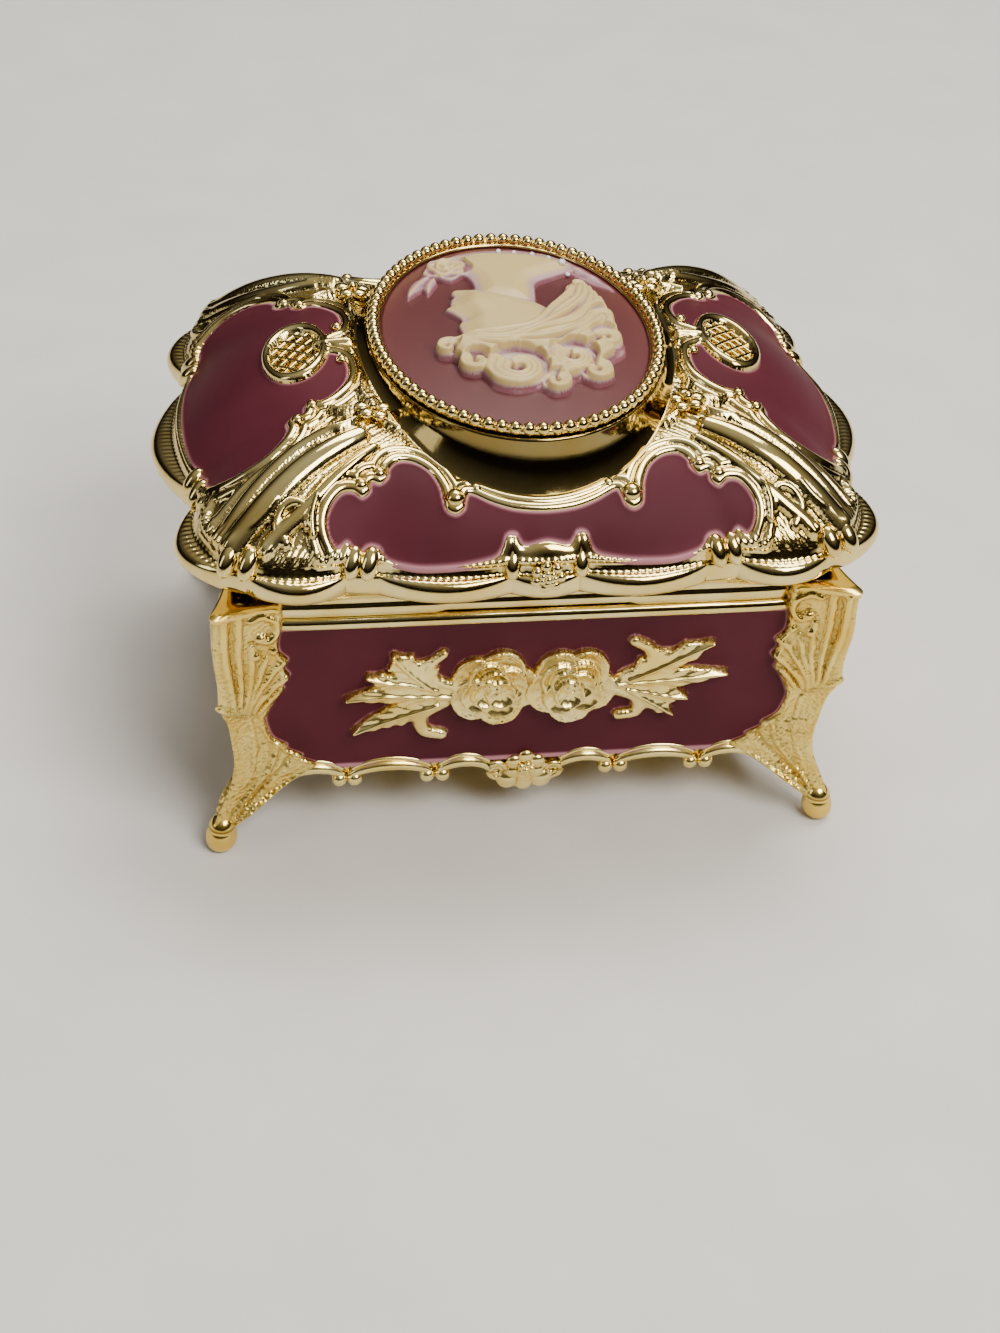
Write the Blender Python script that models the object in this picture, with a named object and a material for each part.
# Gilt jewellery music box: an enamelled casket on four cabriole legs, a scalloped domed lid with a
# beaded oval cameo, a velvet tray, and an eighteen-note movement wound by a key under the base.
# Metres, +Z up, front towards -Y, origin on the table under the middle of the box.

import math

import bmesh
import bpy
from mathutils import Vector

for old in list(bpy.data.objects):
    bpy.data.objects.remove(old, do_unlink=True)

MM = 0.001

# Clearances
SEAT_GAP = 0.3 * MM  # between pieces that are glued, soldered or screwed together
RUN_GAP = 0.35 * MM  # between pieces that turn or slide on each other

# Casket walls
BODY_WIDTH = 83.0 * MM  # over the walls at the rim
BODY_DEPTH = 65.6 * MM
RIM_HEIGHT = 40.0 * MM  # top of the walls above the table
BASE_HEIGHT = 11.4 * MM  # foot of the enamel, where the apron begins
WALL_LEAN = 1.6 * MM  # how far each wall leans in from rim to base
WALL = 2.0 * MM
WALL_CORNER = 4.0 * MM
BEAD_OUT = 0.6 * MM  # half-round moulding under the rim
BEAD_HEIGHT = 1.3 * MM
APRON_DROP = 2.3 * MM  # cusps of the apron below the enamel
APRON_ARCH = 1.3 * MM  # rise of each arch between two cusps
PENDANT_WIDTH = 9.8 * MM  # shell pendant in the middle of the apron
PENDANT_DROP = 6.6 * MM
FRONT_CUSPS = (13.5 * MM, 26.6 * MM)  # apron cusps from the middle of the front
SIDE_CUSPS = (15.0 * MM,)  # and from the middle of a side
LEDGE_WIDTH = 2.5 * MM  # shelf inside the walls that carries base plate and tray
LEDGE_HEIGHT = 2.6 * MM
LEDGE_CORNER = 9.0 * MM

# Cabriole legs
LEG_TOP_RISE = 3.6 * MM  # leg tops above the rim, under the lid
LEG_LEAF = 9.6 * MM  # width of the acanthus leaf on each face
LEG_WAIST = 4.2 * MM  # width of the leg under the leaf
LEG_FLARE = 9.2 * MM  # width of the bracket that meets the apron
LEG_RIDGE = 4.6 * MM  # corner ridge outside the wall at the top
LEG_RIDGE_WAIST = 3.6 * MM
LEG_EDGE = 0.9 * MM  # thickness of the leaf at its edge
FOOT_SPREAD = 5.2 * MM  # foot centre outside the wall corner at the rim, along X
FOOT_SPREAD_Y = 3.4 * MM
FOOT_RADIUS = 2.35 * MM
FOOT_FLAT = 0.35 * MM  # height cut off the ball where it stands
ANKLE_HEIGHT = 5.6 * MM

# Enamel panels and rose sprays
ENAMEL = 0.5 * MM
ROSE_RADIUS = 5.9 * MM
ROSE_SPACING = 11.0 * MM
ROSE_HEIGHT = 1.7 * MM
SPRAY_SHARE = 0.53  # height of the sprays on the wall
LEAF_LENGTH = 21.0 * MM
LEAF_WIDTH = 6.0 * MM
SIDE_LEAF = 0.72  # length of the slanting leaves, by the level one
LEAF_RISE = 0.27  # how far their tips rise, by the height of the wall

# Lid
LID_GAP = 0.4 * MM  # between rim and lid
FLANGE_HEIGHT = 3.6 * MM
RIM_OVER_X = 5.6 * MM  # scroll knobs of the lid rim outside the wall
RIM_OVER_Y = 3.8 * MM
RIM_LOW = 6.4 * MM  # lower edge of the lobed rim above the walls
RIM_KNOBS = 10.8 * MM  # line of the scroll knobs above the walls
ROSETTE_WIDTH = 9.6 * MM
FRONT_PAIR_X = 25.0 * MM  # middle of a knob pair on the front rim
SIDE_PAIR_Y = 15.6 * MM
PAIR_WIDTH = 4.3 * MM
CORNER_IN_X = 5.4 * MM  # corner knobs inside the rim's own corner
CORNER_IN_Y = 2.6 * MM
LOBE_FRONT = 2.4 * MM  # how far each rim lobe swells past its knobs
LOBE_FRONT_END = 2.8 * MM
LOBE_SIDE_END = 4.4 * MM
LOBE_SIDE = 5.0 * MM
DOME_FRONT = 6.4 * MM  # dome's rise from the knobs to the cup, at front and back
DOME_SIDE = 13.7 * MM  # and at the sides
DOME_CURVE = 2.2
HIP_RISE = 1.2 * MM
LID_WALL = 2.2 * MM
THUMB_WIDTH = 31.0 * MM  # shallow notch in the front of the lid's band
THUMB_DEEP = 1.4 * MM
LEG_SWING = 1.2 * MM  # the band draws in by this much where it swings past the rear legs
RIB_HALF = 0.9 * MM  # half width of the mouldings round the lid's enamel
RIB_ROOM = 0.85  # most of the way from the enamel to the cup that a moulding may take
RIB_RISE = 0.9 * MM
KNOB_RISE = 1.0 * MM
ENAMEL_SINK = 0.4 * MM
MEDALLION_X = 31.8 * MM
MEDALLION_WIDTH = 8.2 * MM
MEDALLION_LENGTH = 13.2 * MM
MEDALLION_RISE = 0.8 * MM
# Lower and upper edge of the enamel as shares of the way from the rim to the cup, at each station from
# the middle of the front, and from the middle of a side
FRONT_PANEL = ((0.26, 0.68), (0.30, 0.66), (0.14, 0.72), (0.14, 0.76), (0.14, 0.52), (0.14, 0.76),
               (0.15, 0.78), (0.15, 0.68), (0.18, 0.42))
SIDE_PANEL = ((0.06, 0.84), (0.06, 0.86), (0.06, 0.88), (0.06, 0.88), (0.08, 0.84), (0.13, 0.76),
              (0.25, 0.50))
END_ROWS = (0.18, 0.25, 0.32, 0.39, 0.46, 0.53, 0.64)  # rows of the mouldings that close a panel's ends
HIP_ROWS = (0.12, 0.24, 0.34, 0.44, 0.55, 0.68, 0.84)  # rows of the ridges between two panels

# Cameo and its cup
CUP_WIDTH = 43.0 * MM
CUP_SHY = 4.6 * MM  # the cup's lip stands this far in from the walls at the front and back
CUP_LENGTH = BODY_DEPTH - 2 * CUP_SHY
CUP_FLARE_X = 1.5 * MM  # spread of the cup's foot
CUP_FLARE_Y = 3.3 * MM
CUP_RISE = 14.6 * MM  # its lip above the scroll knobs
CUP_LIP = 2.4 * MM
SEAT_DEPTH = 2.2 * MM
BEAD_COUNT = 78
BEAD_RADIUS = 1.0 * MM
PLAQUE_CROWN = 1.5 * MM
BUST_RELIEF = 2.6 * MM
LINING_THICK = 2.2 * MM

# Hinge at the back
HINGE_LENGTH = 44.0 * MM
HINGE_RADIUS = 1.5 * MM
HINGE_PIN = 0.75 * MM
LEAF_PLATE = 0.9 * MM
LEAF_TALL = 3.6 * MM
KNUCKLES = 5

# Base plate, tray and screws
BASE_PLATE = 1.2 * MM
SCREW_HEAD = 1.9 * MM
SCREW_HEAD_TALL = 1.0 * MM
SCREW_SHANK = 0.9 * MM
SCREW_INSET = 2.7 * MM  # from the inner wall
TRAY_WALL = 1.2 * MM
TRAY_CHAMFER = 1.5 * MM  # its corners, inside the round corners of the walls
TRAY_BELOW_RIM = 1.0 * MM
WELL_GAP = 1.2 * MM  # between the well and the movement

# Movement, from the axis of the spring arbor
BED_THICK = 1.6 * MM
BED_FEET = 1.5 * MM
BED_LEFT = 18.0 * MM
BED_RIGHT = 21.4 * MM
BED_FRONT = 12.6 * MM
BED_CHAMFER = 0.56 * LEDGE_CORNER  # clears the round corners of the ledge
ARBOR_RADIUS = 1.6 * MM
DRUM_RADIUS = 10.4 * MM
DRUM_HEIGHT = 11.2 * MM
DRUM_WALL = 1.0 * MM
SPRING_TURNS = 5
SPRING_THICK = 0.4 * MM
WHEEL_TEETH = 42  # crown wheel on the arbor
PINION_TEETH = 14
TOOTH_PITCH = 1.795 * MM
TOOTH_THICK = 0.5 * MM
CROWN_DEPTH = 1.3 * MM
CROWN_FACE = 1.6 * MM
WHEEL_THICK = 1.4 * MM
CYLINDER_RADIUS = 6.0 * MM
BED_CLEAR = 1.35 * MM  # between the movement and the ledge, front and back
PIN_HEIGHT = 0.4 * MM
NOTES = 18
POST_THICK = 1.2 * MM
SHAFT_RADIUS = 1.2 * MM
SPUR_TEETH = 30  # wheel on the cylinder's far end
GOVERNOR_TEETH = 10
SPUR_PITCH = 1.2 * MM
SPUR_FACE = 1.2 * MM
WORM_WHEEL_TEETH = 20
WORM_STARTS = 2
WORM_PITCH = 1.1 * MM
WORM_RADIUS = 1.25 * MM
WORM_THREAD = 0.3 * MM
FLY_REACH = 4.0 * MM
FLY_TALL = 1.9 * MM
COMB_TEETH = 8.2 * MM  # length of the comb's teeth
COMB_BACK = 6.0 * MM
COMB_THICK = 1.2 * MM
COMB_SLOT = 0.3 * MM
KEY_WIDTH = 20.0 * MM
KEY_TALL = 7.4 * MM
KEY_THICK = 1.6 * MM
KEY_HUB = 2.8 * MM
PLUNGER_RADIUS = 1.0 * MM
PLUNGER_RISE = 1.2 * MM
FINGER_TALL = 0.7 * MM

# Heights worked out from the sizes above
LID_BASE = RIM_HEIGHT + LID_GAP
FLANGE_TOP = LID_BASE + FLANGE_HEIGHT
KNOB_Z = RIM_HEIGHT + RIM_KNOBS
CUP_TOP = KNOB_Z + CUP_RISE
SPRAY_HEIGHT = BASE_HEIGHT + SPRAY_SHARE * (RIM_HEIGHT - BASE_HEIGHT)
LEDGE_Z = BASE_HEIGHT + BASE_PLATE + 2 * SEAT_GAP + 0.5 * MM
PLATE_TOP = LEDGE_Z - SEAT_GAP
PLATE_Z = PLATE_TOP - BASE_PLATE
LEDGE_TOP = LEDGE_Z + LEDGE_HEIGHT
BED_Z = PLATE_TOP + SEAT_GAP + BED_FEET
BED_TOP = BED_Z + BED_THICK
LEG_TOP = RIM_HEIGHT + LEG_TOP_RISE
HINGE_Y = BODY_DEPTH / 2 + BEAD_OUT + SEAT_GAP + LEAF_PLATE + RUN_GAP + HINGE_RADIUS
HINGE_Z = RIM_HEIGHT + LID_GAP / 2

# Places in the movement
DRUM_TOP = BED_TOP + SEAT_GAP + DRUM_HEIGHT
WHEEL_Z = DRUM_TOP + RUN_GAP + 0.3 * MM
WHEEL_RADIUS = WHEEL_TEETH * TOOTH_PITCH / (2 * math.pi)
PINION_RADIUS = PINION_TEETH * TOOTH_PITCH / (2 * math.pi)
AXLE_Z = WHEEL_Z - CROWN_DEPTH / 2 - PINION_RADIUS
SPUR_RADIUS = SPUR_TEETH * SPUR_PITCH / (2 * math.pi)
GOVERNOR_RADIUS = GOVERNOR_TEETH * SPUR_PITCH / (2 * math.pi)
WORM_WHEEL_RADIUS = WORM_WHEEL_TEETH * WORM_PITCH / (2 * math.pi)
POST_1 = WHEEL_RADIUS + CROWN_FACE / 2 + 0.5 * MM
CYLINDER_0 = POST_1 + POST_THICK + RUN_GAP
END_WHEELS = 2 * SPUR_FACE + POST_THICK + RUN_GAP + 1.9 * MM  # spur, worm wheel and post behind the cylinder
BED_LONG = BODY_DEPTH - 2 * (WALL_LEAN + WALL + LEDGE_WIDTH + BED_CLEAR)
CYLINDER_LENGTH = BED_LONG - BED_FRONT - CYLINDER_0 - END_WHEELS
CYLINDER_1 = CYLINDER_0 + CYLINDER_LENGTH
SPUR_0 = CYLINDER_1 + 0.5 * MM
WORM_WHEEL_0 = SPUR_0 + SPUR_FACE + 0.4 * MM
POST_2 = WORM_WHEEL_0 + SPUR_FACE + RUN_GAP
BED_BACK = POST_2 + POST_THICK + 1.0 * MM
ARBOR_X = BODY_WIDTH / 2 - WALL_LEAN - WALL - LEDGE_WIDTH - 2 * SEAT_GAP - BED_RIGHT
ARBOR_Y = (BED_FRONT - BED_BACK) / 2
GOVERNOR_X = ARBOR_X - SPUR_RADIUS - GOVERNOR_RADIUS
FLY_X = GOVERNOR_X - WORM_WHEEL_RADIUS - WORM_RADIUS
FLY_Y = ARBOR_Y + WORM_WHEEL_0 + SPUR_FACE / 2
FLY_Z = AXLE_Z + WORM_WHEEL_RADIUS + 0.9 * MM
PLUNGER_X = FLY_X + FLY_REACH + PLUNGER_RADIUS + 0.4 * MM
PLUNGER_Z = FLY_Z + FLY_TALL + RUN_GAP
SHELF_HEIGHT = PLUNGER_Z + FINGER_TALL + PLUNGER_RISE + RUN_GAP  # underside of the tray's shelf


def finish(name, colour, roughness, metallic):
    material = bpy.data.materials.new(name)
    material.use_nodes = True
    shader = material.node_tree.nodes["Principled BSDF"]
    shader.inputs["Base Color"].default_value = (*colour, 1.0)
    shader.inputs["Roughness"].default_value = roughness
    shader.inputs["Metallic"].default_value = metallic
    return material


GILT = finish("gilt_casting", (0.78, 0.56, 0.20), 0.22, 1.0)
ENAMELLED = finish("burgundy_enamel", (0.105, 0.028, 0.035), 0.3, 0.0)
ROSE_RESIN = finish("rose_resin", (0.24, 0.06, 0.065), 0.4, 0.0)
CREAM_RESIN = finish("cream_resin", (0.68, 0.58, 0.36), 0.45, 0.0)
VELVET = finish("velvet", (0.16, 0.012, 0.03), 0.95, 0.0)
BRASS = finish("brass", (0.72, 0.50, 0.18), 0.3, 1.0)
STEEL = finish("steel", (0.52, 0.52, 0.53), 0.3, 1.0)
ZINC = finish("zinc_casting", (0.45, 0.45, 0.46), 0.45, 1.0)


def empty(name, place):
    pivot = bpy.data.objects.new(name, None)
    pivot.location = place
    bpy.context.scene.collection.objects.link(pivot)
    return pivot


def solid(name, shape, material, parent=None, origin=(0.0, 0.0, 0.0), cutter=False):
    """An object from (points, faces) in world space, with its origin at the given place."""
    points, faces = shape
    place = Vector(origin)
    mesh = bpy.data.meshes.new(name)
    mesh.from_pydata([Vector(p) - place for p in points], [], faces)
    work = bmesh.new()
    work.from_mesh(mesh)
    bmesh.ops.recalc_face_normals(work, faces=work.faces)
    work.to_mesh(mesh)
    work.free()
    mesh.shade_smooth()
    mesh.set_sharp_from_angle(angle=math.radians(38))
    mesh.materials.append(material)
    made = bpy.data.objects.new(name, mesh)
    bpy.context.scene.collection.objects.link(made)
    made.location = place
    if parent:
        made.parent = parent
        made.location = place - parent.location
    if cutter:
        made.hide_render = True
        made.display_type = "WIRE"
    return made


def combine(target, tools, operation):
    for tool in tools:
        cut = target.modifiers.new(tool.name, "BOOLEAN")
        cut.operation = operation
        cut.solver = "EXACT"
        cut.object = tool
    return target


def loft(rings, ends=True):
    """Skins rings of equally many points, closed by end caps or, without them, round to the first."""
    count = len(rings[0])
    points = [p for ring in rings for p in ring]
    faces = []
    for i in range(len(rings) - 1 if ends else len(rings)):
        low, high = i * count, (i + 1) % len(rings) * count
        for j in range(count):
            k = (j + 1) % count
            faces.append((low + j, low + k, high + k, high + j))
    if ends:
        faces.append(tuple(range(count)))
        faces.append(tuple(range(len(points) - count, len(points))))
    return points, faces


def turned(profile, sides, place=(0.0, 0.0, 0.0), axis="Z", ends=True):
    """Turns (radius, distance along the axis) pairs about an axis through the place."""
    x, y, z = place
    rings = []
    for radius, along in profile:
        ring = []
        for i in range(sides):
            c = radius * math.cos(2 * math.pi * i / sides)
            s = radius * math.sin(2 * math.pi * i / sides)
            ring.append({"X": (x + along, y + c, z + s),
                         "Y": (x + s, y + along, z + c),
                         "Z": (x + c, y + s, z + along)}[axis])
        rings.append(ring)
    return loft(rings, ends)


def prism(outline, low, high, axis="Z"):
    """Extrudes a flat outline of (a, b) pairs along an axis."""
    def at(a, b, h):
        return {"X": (h, a, b), "Y": (a, h, b), "Z": (a, b, h)}[axis]
    return loft([[at(a, b, h) for a, b in outline] for h in (low, high)])


def block(x0, x1, y0, y1, z0, z1):
    return prism([(x0, y0), (x1, y0), (x1, y1), (x0, y1)], z0, z1)


def through(knots, at):
    """A smooth curve through (position, value) knots, by cubic pieces with level ends."""
    if at <= knots[0][0]:
        return knots[0][1]
    for i in range(len(knots) - 1):
        (p0, v0), (p1, v1) = knots[i], knots[i + 1]
        if at <= p1:
            def slope(k):
                if k in (0, len(knots) - 1):
                    return 0.0
                return (knots[k + 1][1] - knots[k - 1][1]) / (knots[k + 1][0] - knots[k - 1][0])
            span = p1 - p0
            t = (at - p0) / span
            rest = 1 - t
            return (v0 * (1 + 2 * t) * rest ** 2 + v1 * t ** 2 * (3 - 2 * t)
                    + span * (slope(i) * t * rest ** 2 - slope(i + 1) * t ** 2 * rest))
    return knots[-1][1]


def lean(z):
    return WALL_LEAN * (RIM_HEIGHT - z) / (RIM_HEIGHT - BASE_HEIGHT)


def wall_x(z):
    return BODY_WIDTH / 2 - lean(z)


def wall_y(z):
    return BODY_DEPTH / 2 - lean(z)


def rounded(half_x, half_y, corner, z, arc=3):
    """A rounded rectangle at one height, counted round from the front right corner."""
    ring = []
    for quarter in range(4):
        sx = (1, 1, -1, -1)[quarter]
        sy = (-1, 1, 1, -1)[quarter]
        for i in range(arc + 1):
            turn = math.radians(-90 + 90 * quarter + 90 * i / arc)
            ring.append((sx * (half_x - corner) + corner * math.cos(turn),
                         sy * (half_y - corner) + corner * math.sin(turn), z))
    return ring


# Casket

def cusp_stations(cusps, reach):
    """Places along one side from the middle out: the pendant, then three steps to each cusp."""
    half = PENDANT_WIDTH / 2
    places = [0.0, half / 2, half]
    start = half
    for stop in (*cusps, reach):
        places += [start + (stop - start) * i / 3 for i in (1, 2, 3)]
        start = stop
    return places


def apron_z(place, cusps, reach):
    """Lower edge of the apron: a shell pendant in the middle, then arches between cusps."""
    low = BASE_HEIGHT - APRON_DROP
    half = PENDANT_WIDTH / 2
    if abs(place) < half:
        return low - (PENDANT_DROP - APRON_DROP) * (1 - (place / half) ** 2)
    edges = [half, *cusps, reach]
    for start, stop in zip(edges, edges[1:]):
        if abs(place) <= stop + 1e-9:
            return low + APRON_ARCH * math.sin(math.pi * (abs(place) - start) / (stop - start))
    return low


def leg_edge(half):
    return half + LEG_RIDGE - LEG_LEAF - SEAT_GAP


REACH_X = leg_edge(BODY_WIDTH / 2)  # the moulding and apron run this far from the middle
REACH_Y = leg_edge(BODY_DEPTH / 2)
STEP = 0.5 * MM


def side_places(cusps, reach, straight):
    half = cusp_stations(cusps, reach) + [min(reach + STEP, straight), straight]
    return [-p for p in reversed(half[1:])] + half


def wall_ring(z, out, bead=0.0, apron=False):
    """A ring round the walls at an offset, with its moulding and apron kept between the legs."""
    corner = max(WALL_CORNER + out, 1.0 * MM)
    half_x, half_y = wall_x(z) + out, wall_y(z) + out
    ring = []
    for quarter in range(4):
        along_x = quarter % 2 == 0
        reach, cusps = (REACH_X, FRONT_CUSPS) if along_x else (REACH_Y, SIDE_CUSPS)
        straight = (BODY_WIDTH if along_x else BODY_DEPTH) / 2 - WALL_CORNER
        here = (half_x if along_x else half_y) - corner
        for place in side_places(cusps, reach, straight):
            a = place * here / straight
            b = (half_y if along_x else half_x) + (bead if abs(place) <= reach + 1e-9 else 0.0)
            h = apron_z(place, cusps, reach) if apron else z
            ring.append([(a, -b, h), (b, a, h), (-a, b, h), (-b, -a, h)][quarter])
        h = BASE_HEIGHT - APRON_DROP if apron else z
        sx = (1, 1, -1, -1)[quarter]
        sy = (-1, 1, 1, -1)[quarter]
        for i in (1, 2):
            turn = math.radians(-90 + 90 * quarter + 30 * i)
            ring.append((sx * (half_x - corner) + corner * math.cos(turn),
                         sy * (half_y - corner) + corner * math.sin(turn), h))
    return ring


def ledge_ring(z):
    """The ledge's inner edge, with the walls' count of points and rounder corners for the screws."""
    half_x = wall_x(z) - WALL - LEDGE_WIDTH
    half_y = wall_y(z) - WALL - LEDGE_WIDTH
    ring = []
    for x, y, _ in wall_ring(z, -WALL):
        x = max(-half_x, min(half_x, x))
        y = max(-half_y, min(half_y, y))
        over_x, over_y = abs(x) - half_x + LEDGE_CORNER, abs(y) - half_y + LEDGE_CORNER
        if over_x > 0 and over_y > 0 and math.hypot(over_x, over_y) > LEDGE_CORNER:
            pull = LEDGE_CORNER / math.hypot(over_x, over_y)
            x = math.copysign(half_x - LEDGE_CORNER + over_x * pull, x)
            y = math.copysign(half_y - LEDGE_CORNER + over_y * pull, y)
        ring.append((x, y, z))
    return ring


def screw_places():
    x = wall_x(LEDGE_Z) - WALL - SCREW_INSET
    y = wall_y(LEDGE_Z) - WALL - SCREW_INSET
    return [(x, -y), (x, y), (-x, y), (-x, -y)]


def make_body():
    bead_low = RIM_HEIGHT - BEAD_HEIGHT
    rings = [
        wall_ring(BASE_HEIGHT - APRON_DROP, 0.0, apron=True),
        wall_ring(bead_low, 0.0),
        wall_ring(RIM_HEIGHT - BEAD_HEIGHT / 2, 0.0, bead=BEAD_OUT),
        wall_ring(RIM_HEIGHT, 0.0, bead=BEAD_OUT / 3),
        wall_ring(RIM_HEIGHT, -WALL),
        wall_ring(LEDGE_TOP, -WALL),
        ledge_ring(LEDGE_TOP),
        ledge_ring(LEDGE_Z),
        wall_ring(LEDGE_Z, -WALL),
        wall_ring(BASE_HEIGHT - APRON_DROP, -WALL, apron=True),
    ]
    body = solid("body_shell", loft(rings, ends=False), GILT)
    drills = []
    for i, (x, y) in enumerate(screw_places()):
        size = SCREW_SHANK + SEAT_GAP
        hole = [(size, LEDGE_Z - 1.0 * MM), (size, LEDGE_TOP - 0.4 * MM)]
        drills.append(solid(f"drill_{i}", turned(hole, 10, (x, y, 0)), GILT, cutter=True))
    combine(body, drills, "DIFFERENCE")


# Legs

LEG_SPAN = LEG_TOP - BASE_HEIGHT
FLARE_Z = BASE_HEIGHT + 0.075 * LEG_SPAN
WAIST_Z = BASE_HEIGHT + 0.354 * LEG_SPAN
KNEE_Z = BASE_HEIGHT + 0.497 * LEG_SPAN


def leg_width(z):
    """Width of the leg on each face: a leaf, a waist, a bracket to the apron, then the ankle."""
    leaf = LEG_LEAF
    knots = [(ANKLE_HEIGHT, 1.5 * MM), (FLARE_Z - 0.6 * MM, LEG_FLARE), (FLARE_Z, LEG_FLARE),
             (FLARE_Z + 3.0 * MM, LEG_WAIST + 2.0 * MM), (WAIST_Z, LEG_WAIST), (KNEE_Z + 3.0 * MM, leaf),
             (LEG_TOP - 6.0 * MM, leaf), (LEG_TOP, leaf)]
    return through(knots, z)


def leg_ridge(z, spread):
    """The corner ridge outside the wall: a bold top, a curled knee, a waist and an outswept foot."""
    knots = [(ANKLE_HEIGHT, spread + lean(ANKLE_HEIGHT)), (FLARE_Z, LEG_RIDGE_WAIST),
             (WAIST_Z, LEG_RIDGE_WAIST), (KNEE_Z, LEG_RIDGE + 0.6 * MM),
             (KNEE_Z + 2.2 * MM, LEG_RIDGE - 0.2 * MM), (LEG_TOP - 7.0 * MM, LEG_RIDGE + 0.3 * MM),
             (LEG_TOP, LEG_RIDGE)]
    return through(knots, z)


def leg_section(z):
    """The leg's angle-shaped section at one height, for the front right corner."""
    wx, wy = wall_x(z), wall_y(z)
    rx, ry = wx + leg_ridge(z, FOOT_SPREAD), wy + leg_ridge(z, FOOT_SPREAD_Y)
    width = leg_width(z)
    depth = through([(ANKLE_HEIGHT, 3.0 * MM), (BASE_HEIGHT, 0.0)], z)
    bx = wx + SEAT_GAP if z >= BASE_HEIGHT else rx - max(depth, rx - wx - SEAT_GAP)
    by = wy + SEAT_GAP if z >= BASE_HEIGHT else ry - max(depth, ry - wy - SEAT_GAP)
    bx, by = min(bx, rx - 2.0 * MM), min(by, ry - 2.0 * MM)
    ax, cy = min(rx - width, bx - 0.4 * MM), min(ry - width, by - 0.4 * MM)
    outer = []
    for share in (0.0, 0.3, 0.62, 0.86):
        swell = LEG_EDGE + (ry - by - LEG_EDGE) * share ** 1.6
        outer.append((ax + (rx - ax) * share, -(by + swell)))
    corner = [(rx, -ry)]
    for share in (0.86, 0.62, 0.3, 0.0):
        swell = LEG_EDGE + (rx - bx - LEG_EDGE) * share ** 1.6
        corner.append((bx + swell, -(cy + (ry - cy) * share)))
    inner = [(bx, -cy), (bx, -(cy + by) / 2), (bx, -by), ((ax + bx) / 2, -by), (ax, -by)]
    return [(x, y, z) for x, y in outer + corner + inner]


def foot_section(radius, z):
    """A round section with the leg's count of points, turned to meet the leg without a twist."""
    x = BODY_WIDTH / 2 + FOOT_SPREAD
    y = -(BODY_DEPTH / 2 + FOOT_SPREAD_Y)
    count = 14
    ring = []
    for i in range(count):
        turn = math.radians(215 + 360 * i / count)
        ring.append((x - 1.1 * MM + radius * math.cos(turn), y + 1.1 * MM + radius * math.sin(turn), z))
    return ring


LEG_HEIGHTS = (LEG_TOP, LEG_TOP - 4 * MM, (LEG_TOP + KNEE_Z) / 2, KNEE_Z + 3 * MM, KNEE_Z, KNEE_Z - 1.6 * MM,
               WAIST_Z, FLARE_Z + 3 * MM, FLARE_Z, FLARE_Z - 1.2 * MM, (FLARE_Z + ANKLE_HEIGHT) / 2,
               ANKLE_HEIGHT + 1 * MM)


def leg_inner(z, along_x):
    """Where the leg's inner edge stands on one face, straight between the leg's own sections."""
    for top, bottom in zip(LEG_HEIGHTS, LEG_HEIGHTS[1:]):
        if bottom <= z <= top:
            ends = [leg_section(h)[0][0] if along_x else -leg_section(h)[8][1] for h in (bottom, top)]
            return ends[0] + (ends[1] - ends[0]) * (z - bottom) / (top - bottom)
    return 0.0


def make_legs():
    rings = [leg_section(z) for z in LEG_HEIGHTS]
    rings.append(foot_section(1.6 * MM, 2 * FOOT_RADIUS - 0.2 * MM))
    for turn in (40, 10, -20):
        z = FOOT_RADIUS * (1 + math.sin(math.radians(turn)))
        rings.append(foot_section(FOOT_RADIUS * math.cos(math.radians(turn)), z))
    flat = math.sqrt(FOOT_RADIUS ** 2 - (FOOT_RADIUS - FOOT_FLAT) ** 2)
    rings.append(foot_section(flat, 0.0))
    for name, sx, sy in (("leg_front_right", 1, 1), ("leg_front_left", -1, 1),
                         ("leg_rear_right", 1, -1), ("leg_rear_left", -1, -1)):
        points, faces = loft(rings)
        solid(name, ([(x * sx, y * sy, z) for x, y, z in points], faces), GILT)


# Enamel on the walls

def make_wall_enamel():
    low, high = BASE_HEIGHT + 0.6 * MM, RIM_HEIGHT - BEAD_HEIGHT - SEAT_GAP
    heights = [low, *[h for h in reversed(LEG_HEIGHTS) if low < h < high], high]
    for name, along_x, sign in (("enamel_front", True, -1), ("enamel_rear", True, 1),
                                ("enamel_left", False, -1), ("enamel_right", False, 1)):
        rings = []
        for z in heights:
            half = (wall_x if along_x else wall_y)(z)
            edge = min(leg_inner(z, along_x) - SEAT_GAP, half - WALL_CORNER)
            out = (wall_y if along_x else wall_x)(z) + SEAT_GAP
            corners = [(-edge, out), (edge, out), (edge, out + ENAMEL), (-edge, out + ENAMEL)]
            rings.append([(a, sign * b, z) if along_x else (sign * b, a, z) for a, b in corners])
        solid(name, loft(rings), ENAMELLED)


# Rose sprays

def rose(place_a, height, base):
    """A blown rose: five-lobed rings of petals, each turned against the one outside it."""
    sides = 15
    tiers = ((1.0, 0.0, 0), (1.0, 0.35, 0), (0.84, 0.75, 0), (0.66, 0.62, 36), (0.5, 1.0, 36),
             (0.2, 0.85, 70))
    rings = []
    for share, lift, twist in tiers:
        ring = []
        for i in range(sides):
            turn = 2 * math.pi * i / sides
            radius = ROSE_RADIUS * share * (1 + 0.07 * math.cos(5 * turn + math.radians(twist)))
            a, h = place_a + radius * math.cos(turn), height + radius * math.sin(turn)
            ring.append((a, base + ROSE_HEIGHT * lift, h))
        rings.append(ring)
    return loft(rings)


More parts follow.
